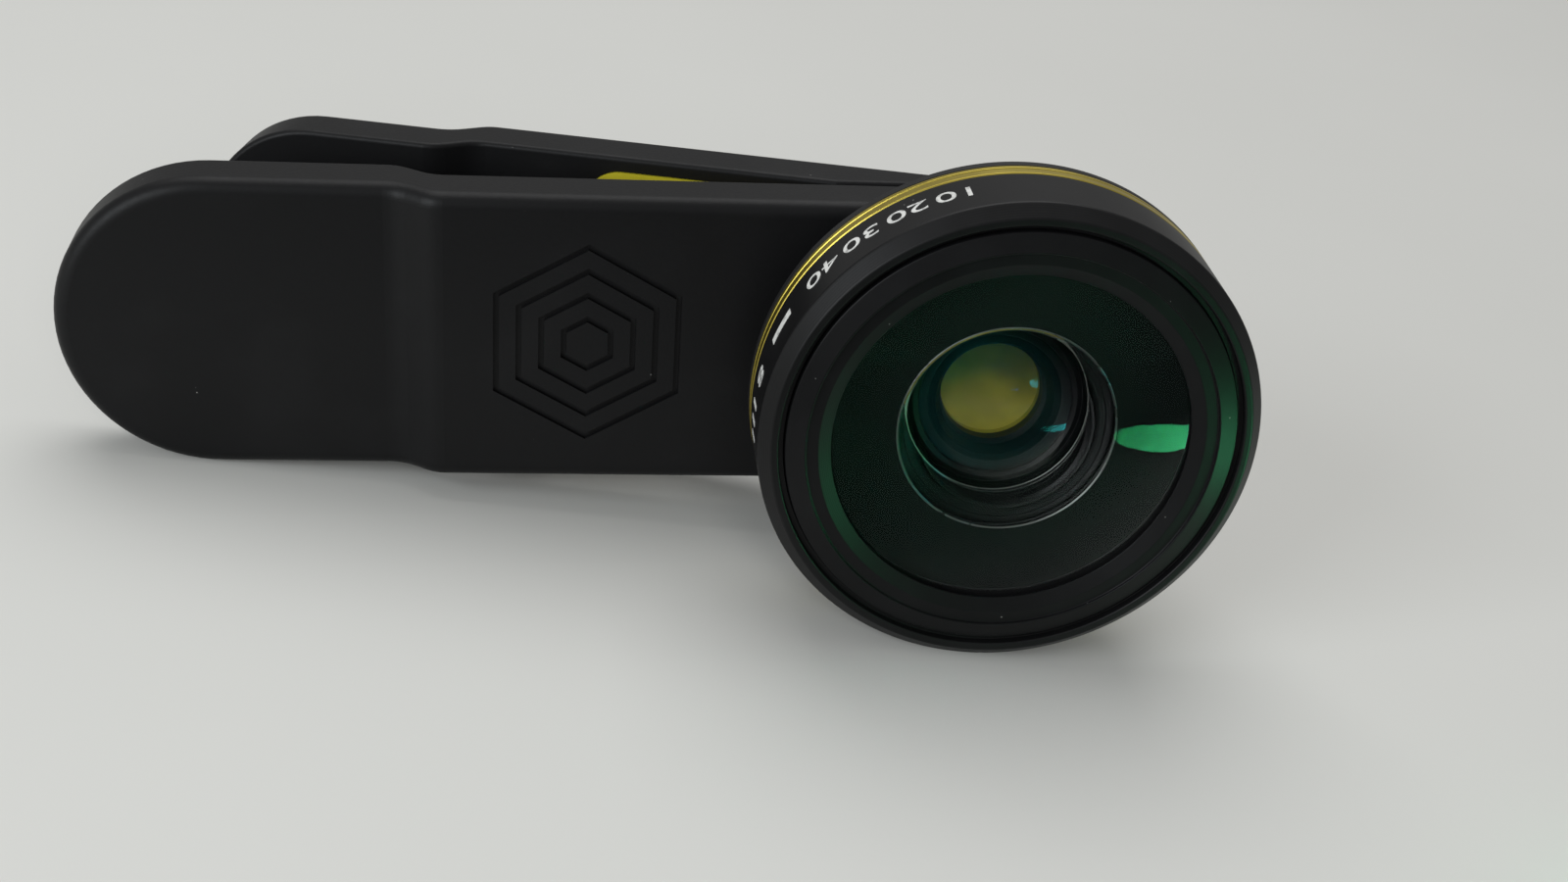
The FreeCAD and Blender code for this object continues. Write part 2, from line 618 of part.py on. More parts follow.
def make_torsion_spring():
    """A close coil round the pin, with one straight leg along each handle."""
    radius, wire, pitch = value("coil_radius"), value("wire_radius"), value("coil_pitch")
    turns, leg = value("coil_sweep"), value("leg_length")
    helix = Part.makeHelix(pitch, pitch * turns, radius)
    slope = math.atan2(pitch, 2 * math.pi * radius)
    start = FreeCAD.Vector(radius, 0, 0)
    start_way = FreeCAD.Vector(0, math.cos(slope), math.sin(slope))
    angle = 2 * math.pi * turns
    stop = FreeCAD.Vector(radius * math.cos(angle), radius * math.sin(angle), pitch * turns)
    level = math.cos(slope)
    stop_way = FreeCAD.Vector(-math.sin(angle) * level, math.cos(angle) * level, math.sin(slope))
    profile = Part.Wire([Part.makeCircle(wire, start, start_way)])
    coil = Part.Wire(helix.Edges).makePipeShell([profile], True, True)
    legs = [Part.makeCylinder(wire, leg, start, start_way * -1),
            Part.makeCylinder(wire, leg, stop, stop_way)]
    shape = coil.multiFuse(legs).removeSplitter()
    place = FreeCAD.Placement(
        FreeCAD.Vector(value("-hinge_back"), value(HINGE_Y), -pitch * turns / 2),
        FreeCAD.Rotation(FreeCAD.Vector(0, 0, 1), -90))
    feature = doc.addObject("Part::Feature", "torsion_spring")
    feature.Shape = shape.Solids[0].transformed(place.Matrix, copy=True)
    return feature


def make_mount_insert():
    shoulder = "-(insert_depth - flange_thick)"
    return turned("mount_insert", [
        ("thread_radius", "0"), ("insert_radius", "0"), ("insert_radius", shoulder),
        ("insert_flange", shoulder), ("insert_flange", "-insert_depth"),
        ("thread_radius", "-insert_depth")])


def make_seat_ring():
    return turned("seat_ring", [("thread_radius", "0"), ("seat_radius", "0"), ("seat_radius", "seat_thick"),
                                ("thread_radius", "seat_thick")])


def make_rear_housing():
    stub = "thread_radius - thread_play"
    middle_bore = "middle_radius + ring_play"
    doublet_bore = "doublet_radius + ring_play"
    return turned("rear_housing", [
        ("rear_bore", "-stub_length"), (stub, "-stub_length"), (stub, "seat_thick"),
        ("neck_radius", "seat_thick"), ("neck_radius", "neck_depth"),
        ("barrel_radius", "bell_depth"), ("barrel_radius", "accent_depth"),
        ("spigot_radius", "accent_depth"), ("spigot_radius", "spigot_front"), ("baffle_radius", "spigot_front"),
        ("baffle_radius", "baffle_seat"), (middle_bore, "lock_front"), (middle_bore, "middle_seat"),
        (doublet_bore, "middle_seat"), (doublet_bore, "-flint_back"), ("rear_bore", "-flint_back")])


def make_accent_ring():
    inner, edge = "spigot_radius + ring_play", "barrel_radius - fine_chamfer"
    return turned("accent_ring", [(inner, "accent_depth"), (edge, "accent_depth"),
                                  ("barrel_radius", "accent_depth + fine_chamfer"),
                                  ("barrel_radius", f"accent_front - fine_chamfer"), (edge, "accent_front"),
                                  (inner, "accent_front")])


def make_front_barrel():
    bore, glass_bore = "spigot_radius + ring_play", "front_glass_radius + ring_play"
    ring_bore, groove_floor = "ring_radius + ring_play", "face_depth - groove_depth"
    web_back = f"spigot_front + ring_play"
    return turned("front_barrel", [
        (bore, "accent_front"), ("barrel_radius - fine_chamfer", "accent_front"),
        ("barrel_radius", f"accent_front + fine_chamfer"), ("barrel_radius", "rim_depth"),
        ("face_radius", "face_depth"), ("groove_radius", "face_depth"), ("groove_radius", groove_floor),
        (ring_bore, groove_floor), (ring_bore, "ring_shoulder"), (glass_bore, "ring_shoulder"),
        (glass_bore, "front_glass_back"), ("web_radius", "front_glass_back"), ("web_radius", web_back),
        (bore, web_back)])


def make_front_retaining_ring():
    glass_bore = "front_glass_radius + ring_play"
    return turned("front_retaining_ring", [
        (glass_bore, "ring_shoulder"), ("ring_radius", "ring_shoulder"), ("ring_radius", "ring_edge_depth"),
        ("ring_crest_radius", "ring_crest_depth"), ("ring_crest_radius", "face_depth"),
        ("ring_flat_radius", "face_depth"), ("ring_lip_radius", "face_depth - ring_lip_drop"),
        ("ring_lip_radius", "gasket_front"), (glass_bore, "gasket_front")])


def make_front_gasket():
    return turned("front_gasket", [
        ("ring_lip_radius", "front_glass_step"), ("front_glass_radius", "front_glass_step"),
        ("front_glass_radius", "gasket_front"), ("ring_lip_radius", "gasket_front")])


def make_front_element():
    corners = [("0", "front_glass_back + hollow_height"), ("front_hollow_radius", "front_glass_back"),
               ("front_glass_radius", "front_glass_back"), ("front_glass_radius", "front_glass_step"),
               ("front_clear_radius", "front_glass_step"),
               ("front_clear_radius", "front_glass_step + glass_edge_rise"), ("0", "front_apex_depth")]
    hollow_curve = sphere("hollow_height", "front_hollow_radius")
    dome_curve = sphere("dome_height", "front_clear_radius")
    return turned("front_element", corners, {0: (hollow_curve, 1), 5: (dome_curve, -1)})


def make_baffle_cone():
    """Black cone between the two lens groups, held by its rim under the front barrel's web."""
    outer = f"baffle_radius - ring_play"
    return turned("baffle_cone", [
        ("middle_radius", f"lock_front + ring_play"), (outer, "baffle_seat + ring_play"),
        (outer, "spigot_front"), ("web_radius", "spigot_front"),
        ("middle_radius", f"lock_front + ring_play + baffle_thick")])


def make_middle_lock_ring():
    return turned("middle_lock_ring", [
        ("middle_clear", "middle_front"), ("middle_radius", "middle_front"), ("middle_radius", "lock_front"),
        ("middle_clear + lock_chamfer", "lock_front"), ("middle_clear", f"lock_front - lock_chamfer")])


def make_middle_element():
    corners = [("0", "middle_seat"), ("middle_radius", "middle_seat"), ("middle_radius", "middle_front"),
               ("middle_clear", "middle_front"), ("0", "middle_front - middle_sag")]
    return turned("middle_element", corners, {3: (sphere("middle_sag", "middle_clear"), 1)})


def make_inner_spacer():
    inner = "doublet_radius - spacer_wall"
    dip = f"({CROWN_CURVE} - sqrt(({CROWN_CURVE}) ^ 2 - ({inner}) ^ 2))"
    foot = f"crown_edge + crown_sag - {dip} + ring_play"
    return turned("inner_spacer", [(inner, foot), ("doublet_radius", "crown_edge + ring_play"),
                                   ("doublet_radius", "middle_seat"), (inner, "middle_seat")])


def make_doublet_crown():
    corners = [("0", CEMENT_APEX), ("doublet_radius", "cement_edge"), ("doublet_radius", "crown_edge"),
               ("0", "crown_edge + crown_sag")]
    cement_curve = sphere("cement_sag", "doublet_radius")
    return turned("doublet_crown", corners, {0: (cement_curve, -1), 2: (CROWN_CURVE, -1)})


def make_doublet_flint():
    corners = [("0", "-flint_back"), ("doublet_radius", "-flint_back"), ("doublet_radius", "cement_edge"),
               ("0", CEMENT_APEX)]
    return turned("doublet_flint", corners, {2: (sphere("cement_sag", "doublet_radius"), 1)})


FIXED_TO_CLIP = [make_front_arm, make_front_pad, make_mount_insert, make_hinge_pin, make_torsion_spring,
                 make_seat_ring, make_rear_housing, make_accent_ring, make_front_barrel,
                 make_front_retaining_ring, make_front_gasket, make_front_element, make_baffle_cone,
                 make_middle_lock_ring, make_middle_element, make_inner_spacer, make_doublet_crown,
                 make_doublet_flint]
ON_REAR_ARM = [make_rear_arm, make_rear_pad]


def stand_up(offset):
    """The clip's placement when it stands on the lens barrel and the two handle ends."""
    lean = math.degrees(math.asin(value("(barrel_radius - arm_width / 2) / handle_reach")))
    return FreeCAD.Placement(offset, FreeCAD.Rotation(FreeCAD.Vector(0, 1, 0), -lean))


def shut_rear_arm():
    """The rear arm's turn about the hinge that brings the jaws together."""
    hinge = FreeCAD.Vector(value("-hinge_back"), value(HINGE_Y), 0)
    turn = FreeCAD.Rotation(FreeCAD.Vector(0, 0, 1), -value("vee"))
    return FreeCAD.Placement(FreeCAD.Vector(), turn, hinge)


def place_all(offset):
    for piece in clip_pieces:
        piece.Placement = stand_up(offset)
    for piece in rear_pieces:
        piece.Placement = stand_up(offset).multiply(shut_rear_arm())
    doc.recompute()


def check_document():
    for item in doc.Objects:
        if "Invalid" in item.State or "Error" in item.State:
            raise RuntimeError(f"{item.Name} failed to build: {item.State}")
    for piece in clip_pieces + rear_pieces:
        shape = piece.Shape
        if shape.isNull() or not shape.isValid() or len(shape.Solids) != 1:
            raise RuntimeError(f"{piece.Label} isn't one valid solid")


clip_pieces = [make() for make in FIXED_TO_CLIP]
rear_pieces = [make() for make in ON_REAR_ARM]
place_all(FreeCAD.Vector())
check_document()

# The origin is the middle of the underside of the whole part's box
boxes = [piece.Shape.optimalBoundingBox(False, False) for piece in clip_pieces + rear_pieces]
whole = FreeCAD.BoundBox()
for box in boxes:
    whole.add(box)
place_all(FreeCAD.Vector(-whole.Center.x, -whole.Center.y, -whole.ZMin))
check_document()

os.makedirs("parts", exist_ok=True)
for piece in clip_pieces + rear_pieces:
    piece.Shape.exportStep(f"parts/{piece.Label}.step")
    print(f"{piece.Label}: {piece.Shape.Volume:.1f} mm3")
print(f"size {whole.XLength:.2f} x {whole.YLength:.2f} x {whole.ZLength:.2f} mm")
print(f"lens axis at x {-whole.Center.x:.3f}, y 0 at {-whole.Center.y:.3f}, height {-whole.ZMin:.3f}")
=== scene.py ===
import math

import bpy
import numpy as np
from mathutils import Matrix, Vector


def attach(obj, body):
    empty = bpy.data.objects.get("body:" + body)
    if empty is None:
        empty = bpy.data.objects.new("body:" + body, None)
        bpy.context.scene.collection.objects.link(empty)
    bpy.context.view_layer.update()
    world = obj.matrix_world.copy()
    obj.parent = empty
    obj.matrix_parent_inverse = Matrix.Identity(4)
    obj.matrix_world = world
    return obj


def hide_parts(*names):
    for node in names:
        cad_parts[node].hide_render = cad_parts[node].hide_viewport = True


# The clip-on lens stands on its barrel and its front handle's end. The lens axis runs along -Y.
# A section of a turned piece is given in millimetres as radius from the lens axis and depth in front of the
# arm's outer face.

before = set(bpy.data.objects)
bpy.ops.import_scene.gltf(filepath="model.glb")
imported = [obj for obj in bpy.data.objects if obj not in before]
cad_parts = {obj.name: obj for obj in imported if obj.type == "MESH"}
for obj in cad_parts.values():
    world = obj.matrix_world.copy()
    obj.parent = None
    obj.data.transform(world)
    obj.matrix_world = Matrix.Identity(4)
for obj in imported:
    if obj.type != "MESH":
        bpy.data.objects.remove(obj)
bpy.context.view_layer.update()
MM = 0.001
AXIS_X, FACE_Y, AXIS_Z = 22.837 * MM, -0.650 * MM, 16.300 * MM
SEGMENTS = 256


# Shader maths
class Value:
    """An output socket of a material. Arithmetic on it adds Math nodes."""

    def __init__(self, finish, socket):
        self.finish, self.socket = finish, socket

    def math(self, operation, *others):
        return self.finish.node("ShaderNodeMath", {"operation": operation}, dict(enumerate((self,) + others)))

    def __add__(self, other):
        return self.math("ADD", other)

    def __mul__(self, other):
        return self.math("MULTIPLY", other)

    def __sub__(self, other):
        return self.math("SUBTRACT", other)

    def __pow__(self, power):
        return self.math("POWER", power)

    def __rsub__(self, other):
        return self * -1.0 + other

    def wave(self):
        return self.math("SINE")

    def ramp(self, low, high, to_low=0.0, to_high=1.0):
        """Goes smoothly from to_low to to_high while the value goes from low to high."""
        return self.finish.node("ShaderNodeMapRange", {"interpolation_type": "SMOOTHSTEP"},
                                {"Value": self, "From Min": low, "From Max": high,
                                 "To Min": to_low, "To Max": to_high})


class Finish:
    """One material. Constants are set on its Principled shader by the socket's name."""

    def __init__(self, name, **constants):
        self.material = bpy.data.materials.new(name)
        self.material.use_nodes = True
        self.tree = self.material.node_tree
        self.shader = self.tree.nodes["Principled BSDF"]
        for socket, constant in constants.items():
            self.shader.inputs[socket.replace("_", " ")].default_value = constant

    def node(self, kind, settings=None, sockets=None, output=0):
        """Adds a node with its settings and its sockets, by name or number, and gives one of its outputs."""
        node = self.tree.nodes.new(kind)
        for name, setting in (settings or {}).items():
            setattr(node, name, setting)
        for name, given in (sockets or {}).items():
            if isinstance(given, Value):
                self.tree.links.new(given.socket, node.inputs[name])
            else:
                node.inputs[name].default_value = given
        return Value(self, node.outputs[output])

    def feed(self, **values):
        for name, given in values.items():
            self.tree.links.new(given.socket, self.shader.inputs[name.replace("_", " ")])
        return self.material

    def place(self):
        return self.node("ShaderNodeTexCoord", output="Object")

    def noise(self, scale, detail=3.0):
        return self.node("ShaderNodeTexNoise", None,
                         {"Vector": self.place(), "Scale": scale, "Detail": detail})

    def specks(self, scale, reach, share):
        """Small round specks: what lies within reach of a cell's centre, in a share of the cells."""
        cells = self.node("ShaderNodeTexVoronoi", None, {"Vector": self.place(), "Scale": scale})
        return cells.ramp(reach, reach * 0.5) * self.noise(scale * 0.61, 0.0).ramp(1.0 - share, 1.03 - share)

    def mix(self, factor, first, second):
        first, second = (given if isinstance(given, Value) else (*given, 1.0) for given in (first, second))
        return self.node("ShaderNodeMix", {"data_type": "RGBA"}, {0: factor, 6: first, 7: second}, output=2)

    def bump(self, height, distance, strength):
        return self.node("ShaderNodeBump", None,
                         {"Height": height, "Distance": distance, "Strength": strength})

    def axes(self):
        """The place's x, y and z."""
        return [self.node("ShaderNodeSeparateXYZ", None, {0: self.place()}, output) for output in range(3)]

    def radius_and_depth(self):
        """Distance from the lens axis and depth in front of the arm's face, in millimetres."""
        x, y, z = self.axes()
        across, up = (x - AXIS_X) * 1000.0, (z - AXIS_Z) * 1000.0
        return (across * across + up * up) ** 0.5, (y - FACE_Y) * -1000.0


def shade(colour, factor):
    return tuple(factor * part for part in colour)


# Finishes
def soft_touch():
    """Matt black soft-touch paint: a fine grain, faint rubbed patches and dust."""
    finish = Finish("soft_touch_black", IOR=1.45, Specular_IOR_Level=0.20)
    rubbed = finish.noise(110.0, 5.0).ramp(0.48, 0.72)
    grain = finish.noise(4200.0, 2.0)
    dust = finish.specks(700.0, 0.045, 0.42)
    paint = (0.0058, 0.0058, 0.0062)
    colour = finish.mix(dust, finish.mix(rubbed * 0.5, paint, shade(paint, 1.6)), (0.22, 0.22, 0.21))
    return finish.feed(Base_Color=colour, Roughness=grain * 0.10 + 0.40 - rubbed * 0.05,
                       Normal=finish.bump(grain, 0.00003, 0.3))


def turned_black(name, paint, rough, along_depth, dust_share, level):
    """Black turned surface: fine tool lines along the depth or the radius, a soft sheen and dust."""
    finish = Finish(name, IOR=1.5, Specular_IOR_Level=level)
    radius, depth = finish.radius_and_depth()
    lines = ((depth if along_depth else radius) * 52.0).wave() * 0.5 + 0.5
    cloud = finish.noise(240.0, 4.0)
    dust = finish.specks(800.0, 0.05, dust_share)
    colour = finish.mix(dust, finish.mix(cloud.ramp(0.35, 0.8), paint, shade(paint, 1.5)), (0.26, 0.26, 0.25))
    return finish.feed(Base_Color=colour, Roughness=cloud * 0.12 + rough + dust * 0.2,
                       Normal=finish.bump(lines, 0.000005, 0.4))


def inner_black():
    """The dead black paint inside the lens, thinner in faint clouds."""
    finish = Finish("inner_black", IOR=1.45, Specular_IOR_Level=0.06)
    cloud = finish.noise(300.0, 3.0)
    return finish.feed(Base_Color=finish.mix(cloud, (0.0010, 0.0014, 0.0014), (0.0018, 0.0024, 0.0024)),
                       Roughness=cloud * 0.2 + 0.5)


def anodised_yellow():
    finish = Finish("accent_yellow", Metallic=1.0)
    radius, depth = finish.radius_and_depth()
    lines = (depth * 40.0).wave() * 0.5 + 0.5
    cloud = finish.noise(300.0, 3.0)
    colour = finish.mix(cloud, (0.42, 0.33, 0.055), (0.56, 0.45, 0.09))
    return finish.feed(Base_Color=colour, Roughness=cloud * 0.12 + 0.30,
                       Normal=finish.bump(lines, 0.000006, 0.4))


def coated_glass(name, coat, index):
    """Clear glass whose reflection takes the colour of its coating, in faint clouds."""
    finish = Finish(name, Transmission_Weight=1.0, IOR=index, Specular_Tint=(*coat, 1.0), Roughness=0.0)
    cloud = finish.noise(140.0, 3.0).ramp(0.4, 0.9)
    return finish.feed(Base_Color=finish.mix(cloud, (1.0, 1.0, 1.0), (0.96, 0.97, 0.97)))


def yellow_rubber():
    finish = Finish("pad_yellow", IOR=1.45)
    cloud = finish.noise(260.0, 4.0)
    fine = finish.noise(3000.0, 2.0)
    colour = finish.mix(cloud.ramp(0.3, 0.7), (0.46, 0.40, 0.018), (0.58, 0.51, 0.030))
    return finish.feed(Base_Color=colour, Roughness=cloud * 0.15 + 0.45,
                       Normal=finish.bump(fine, 0.00002, 0.3))


def plain_metal(name, tint, rough):
    finish = Finish(name, Metallic=1.0)
    cloud = finish.noise(700.0, 4.0)
    return finish.feed(Base_Color=finish.mix(cloud, tint, shade(tint, 0.7)), Roughness=cloud * 0.15 + rough)


def black_rubber():
    finish = Finish("seal_rubber", IOR=1.45, Specular_IOR_Level=0.3)
    cloud = finish.noise(500.0, 3.0)
    return finish.feed(Base_Color=finish.mix(cloud, (0.010, 0.010, 0.010), (0.016, 0.016, 0.016)),
                       Roughness=cloud * 0.2 + 0.6)


def white_ink():
    finish = Finish("white_ink", IOR=1.45)
    worn = finish.noise(2400.0, 4.0)
    return finish.feed(Base_Color=finish.mix(worn.ramp(0.45, 0.75), (0.62, 0.62, 0.60), (0.30, 0.30, 0.29)),
                       Roughness=worn * 0.2 + 0.5)


SOFT_TOUCH = soft_touch()
BARREL_BLACK = turned_black("barrel_black", (0.0045, 0.0045, 0.0048), 0.36, True, 0.34, 0.19)
RING_BLACK = turned_black("ring_black", (0.0038, 0.0038, 0.0042), 0.34, False, 0.46, 0.17)
HOUSING_BLACK = turned_black("housing_black", (0.008, 0.008, 0.008), 0.45, True, 0.3, 0.3)
INNER_BLACK = inner_black()
YELLOW_METAL = anodised_yellow()
YELLOW_RUBBER = yellow_rubber()
RUBBER = black_rubber()
STEEL = plain_metal("pin_steel", (0.56, 0.56, 0.56), 0.25)
SPRING_STEEL = plain_metal("spring_steel", (0.45, 0.45, 0.46), 0.3)
INSERT = plain_metal("insert_alloy", (0.62, 0.62, 0.63), 0.3)
BARE_EDGE = plain_metal("bare_edge", (0.34, 0.34, 0.33), 0.22)
FRONT_GLASS = coated_glass("front_glass", (0.008, 0.08, 0.045), 1.52)
MIDDLE_GLASS = coated_glass("middle_glass", (0.02, 0.30, 0.32), 1.52)
REAR_GLASS = coated_glass("rear_glass", (0.10, 0.06, 0.16), 1.6)
WHITE_INK = white_ink()

NODE_FINISHES = {
    "front_arm": SOFT_TOUCH, "rear_arm": SOFT_TOUCH, "front_pad": YELLOW_RUBBER, "rear_pad": YELLOW_RUBBER,
    "mount_insert": INSERT, "hinge_pin": STEEL, "torsion_spring": SPRING_STEEL, "seat_ring": RUBBER,
    "front_gasket": RUBBER, "inner_spacer": INNER_BLACK,
}
for node, finish in NODE_FINISHES.items():
    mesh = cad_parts[node].data
    mesh.materials.clear()
    mesh.materials.append(finish)


# Turned pieces
def turns_left(points):
    """Whether a closed section runs with its inside on the left."""
    beside = np.roll(points, -1, axis=0)
    return np.sum(points[:, 0] * beside[:, 1] - points[:, 1] * beside[:, 0]) > 0


def rounded(*corners):
    """A section's points and outward normals. Each corner is (radius, depth, rounding): it becomes an arc
    tangent to both its sides, with its centre at corner + bisector * rounding / sin(half angle)."""
    corners = np.array(corners)
    spots, rounding = corners[:, :2], corners[:, 2:]
    to_last = np.roll(spots, 1, axis=0) - spots
    to_next = np.roll(spots, -1, axis=0) - spots
    reach_last = np.linalg.norm(to_last, axis=1, keepdims=True)
    reach_next = np.linalg.norm(to_next, axis=1, keepdims=True)
    to_last, to_next = to_last / reach_last, to_next / reach_next
    half = np.arccos(np.clip((to_last * to_next).sum(axis=1, keepdims=True), -1, 1)) / 2
    rounding = np.minimum(rounding, 0.45 * np.minimum(reach_last, reach_next) * np.tan(half))
    bisector = (to_last + to_next) / (2 * np.cos(half))
    start = to_last * rounding / np.tan(half) - bisector * rounding / np.sin(half)
    bend = -np.sign(to_last[:, :1] * to_next[:, 1:] - to_last[:, 1:] * to_next[:, :1])
    turn = (bend * (np.pi - 2 * half))[:, None, :] * np.linspace(0, 1, 7)[None, :, None]
    x, y = start[:, None, :1], start[:, None, 1:]
    arms = np.concatenate([x * np.cos(turn) - y * np.sin(turn), x * np.sin(turn) + y * np.cos(turn)], axis=2)
    points = (spots + bisector * rounding / np.sin(half))[:, None, :] + arms
    side = bend if turns_left(spots) else -bend
    outward = arms / np.linalg.norm(arms, axis=2, keepdims=True) * side[:, None, :]
    return points.reshape(-1, 2), outward.reshape(-1, 2)


def curved_face(edge, depth, rise, facing, steps=40):
    """A lens face from the axis to its edge: depth + s (sqrt(R^2 - r^2) - sqrt(R^2 - edge^2)), where rise is
    how far its middle stands in front of its edge, s its sign and R = (edge^2 + rise^2) / (2 |rise|)."""
    sign = math.copysign(1, rise)
    ball = (edge ** 2 + rise ** 2) / (2 * abs(rise))
    radius = edge * np.linspace(0, 1, steps)
    height = np.sqrt(ball ** 2 - radius ** 2)
    points = np.stack([radius, depth + sign * (height - math.sqrt(ball ** 2 - edge ** 2))], axis=1)
    return points, np.stack([sign * radius, height], axis=1) / ball * facing


def straight_edge(*corners, bevel=0.01):
    """The straight sides between a lens's back and front faces, with a hair's bevel at each corner."""
    corners = np.array(corners)
    starts, stops = corners[:-1], corners[1:]
    along = (stops - starts) / np.linalg.norm(stops - starts, axis=1, keepdims=True)
    points = np.stack([starts + bevel * along, stops - bevel * along], axis=1).reshape(-1, 2)
    return points, np.repeat(along[:, ::-1] * (1, -1), 2, axis=0)


def lens_section(back, edge, front):
    """Joins a back face, an edge and a front face into one section that begins and ends on the axis."""
    parts = [back, edge, (front[0][::-1], front[1][::-1])]
    return tuple(np.concatenate([part[item] for part in parts]) for item in (0, 1))


def add_mesh(name, points, normals, faces, material, nodes=()):
    """Makes a piece that rides on the lens and may stand for CAD nodes. Given normals make it smooth."""
    mesh = bpy.data.meshes.new(name)
    mesh.from_pydata(points.tolist(), [], faces)
    if normals is not None:
        mesh.polygons.foreach_set("use_smooth", np.ones(len(faces), dtype=bool))
        mesh.normals_split_custom_set_from_vertices(normals.tolist())
    mesh.materials.append(material)
    piece = bpy.data.objects.new(name, mesh)
    bpy.context.scene.collection.objects.link(piece)
    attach(piece, "lens")
    if nodes:
        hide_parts(*nodes)
    return piece


def turned(name, section, material, nodes=()):
    """Turns a section about the lens axis: point i at step k is at x = axis + r_i cos(t_k), y = face - d_i
    and z = axis + r_i sin(t_k), with t_k = 2 pi k / SEGMENTS. A section on the axis is closed by fans."""
    points, normals = section
    turn = 2 * np.pi * np.arange(SEGMENTS) / SEGMENTS
    level = np.ones(SEGMENTS)
    solid = points[0, 0] < 1e-6
    rows = slice(1, -1) if solid else slice(None)
    radius, depth = points[rows, 0, None] * MM, points[rows, 1, None] * MM
    out, ahead = normals[rows, 0, None], normals[rows, 1, None]
    place = np.stack([AXIS_X + radius * np.cos(turn), FACE_Y - depth * level,
                      AXIS_Z + radius * np.sin(turn)], axis=2).reshape(-1, 3)
    slope = np.stack([out * np.cos(turn), -ahead * level, out * np.sin(turn)], axis=2).reshape(-1, 3)
    count = len(radius)
    row = np.arange(count - 1 if solid else count)[:, None] * SEGMENTS
    above = (row + SEGMENTS) % (count * SEGMENTS)
    step = np.arange(SEGMENTS)
    beside = (step + 1) % SEGMENTS
    faces = np.stack([row + step, row + beside, above + beside, above + step], axis=2).reshape(-1, 4)
    fans = np.empty((0, 3), dtype=int)
    if solid:
        ends = [[AXIS_X, FACE_Y - points[end, 1] * MM, AXIS_Z] for end in (0, -1)]
        place = np.concatenate([place, ends])
        slope = np.concatenate([slope, [[0, -normals[end, 1], 0] for end in (0, -1)]])
        rim, first, last = (count - 1) * SEGMENTS, count * SEGMENTS, count * SEGMENTS + 1
        fans = np.concatenate([np.stack([0 * step + first, beside, step], axis=1),
                               np.stack([0 * step + last, rim + step, rim + beside], axis=1)])
    order = 1 if turns_left(points) else -1
    return add_mesh(name, place, slope, faces[:, ::order].tolist() + fans[:, ::order].tolist(), material,
                    nodes)


FINE, EDGE = 0.05, 0.14
WALL_RADIUS, WALL_BEVEL = 16.3, 16.15
SPIGOT_BORE, RING_BORE, GLASS_BORE = 14.94, 14.64, 12.99
SPIGOT_FRONT = 9.4
LAND_BACK, YELLOW_BACK, YELLOW_FRONT = 6.3, 6.9, 8.3
RING_SEAT, RIM_DEPTH, FACE_DEPTH = 11.3, 13.05, 13.9
WEB_RADIUS, WEB_BACK, GLASS_BACK = 11.6, 9.44, 10.0
GLASS_RADIUS, GLASS_STEP, GLASS_CLEAR, GLASS_RIM = 12.95, 12.4, 11.85, 13.2
HOLLOW_RADIUS, HOLLOW_HEIGHT, DOME_HEIGHT = 6.6, 3.4, 2.4
MIDDLE_RADIUS, MIDDLE_BACK, MIDDLE_FRONT, MIDDLE_CLEAR = 7.95, 4.4, 6.2, 6.8
DOUBLET_RADIUS, DOUBLET_BACK, DOUBLET_FRONT = 6.35, -1.0, 2.2
NEARLY_FLAT = 0.004
turned("barrel", rounded(
    (SPIGOT_BORE, YELLOW_FRONT, FINE), (WALL_BEVEL, YELLOW_FRONT, FINE), (WALL_RADIUS, 8.45, FINE),
    (WALL_RADIUS, RIM_DEPTH, 0.3), (15.5, FACE_DEPTH, 0.25), (15.0, FACE_DEPTH, EDGE), (15.0, 13.3, FINE),
    (RING_BORE, 13.3, FINE), (RING_BORE, RING_SEAT, FINE), (GLASS_BORE, RING_SEAT, FINE),
    (GLASS_BORE, GLASS_BACK, FINE), (WEB_RADIUS, GLASS_BACK, FINE), (WEB_RADIUS, WEB_BACK, FINE),
    (SPIGOT_BORE, WEB_BACK, FINE)),
    BARREL_BLACK, ("front_barrel",))
turned("yellow_ring", rounded(
    (SPIGOT_BORE, YELLOW_BACK, FINE), (WALL_BEVEL, YELLOW_BACK, FINE), (WALL_RADIUS, 7.05, 0.08),
    (WALL_RADIUS, 7.36, FINE), (16.2, 7.42, FINE), (16.2, 7.50, FINE), (WALL_RADIUS, 7.56, FINE),
    (WALL_RADIUS, 8.2, FINE), (16.2, YELLOW_FRONT, FINE), (SPIGOT_BORE, YELLOW_FRONT, FINE)),
    YELLOW_METAL, ("accent_ring",))
turned("front_ring", rounded(
    (GLASS_BORE, RING_SEAT, FINE), (14.6, RING_SEAT, FINE), (14.6, 13.7, EDGE), (13.3, 14.15, 0.2),
    (13.3, FACE_DEPTH, EDGE), (12.5, FACE_DEPTH, 0.2), (11.64, 13.46, 0.05), (11.64, 13.36, 0.02),
    (12.0, 13.24, 0.02), (12.0, 12.9, FINE), (GLASS_BORE, 12.9, FINE)),
    RING_BLACK, ("front_retaining_ring",))
turned("rear_body", rounded(
    (5.4, -3.3, FINE), (7.41, -3.3, EDGE), (7.41, 0.6, FINE), (9.8, 0.6, EDGE), (9.8, 1.9, 0.3),
    (WALL_RADIUS, LAND_BACK, 0.1), (WALL_RADIUS, YELLOW_BACK, FINE), (14.9, YELLOW_BACK, FINE),
    (14.9, SPIGOT_FRONT, FINE), (13.9, SPIGOT_FRONT, FINE), (13.9, 8.8, FINE), (7.99, 6.9, FINE),
    (7.99, MIDDLE_BACK, FINE), (6.39, MIDDLE_BACK, FINE), (6.39, DOUBLET_BACK, FINE),
    (5.4, DOUBLET_BACK, FINE)), HOUSING_BLACK, ("rear_housing",))
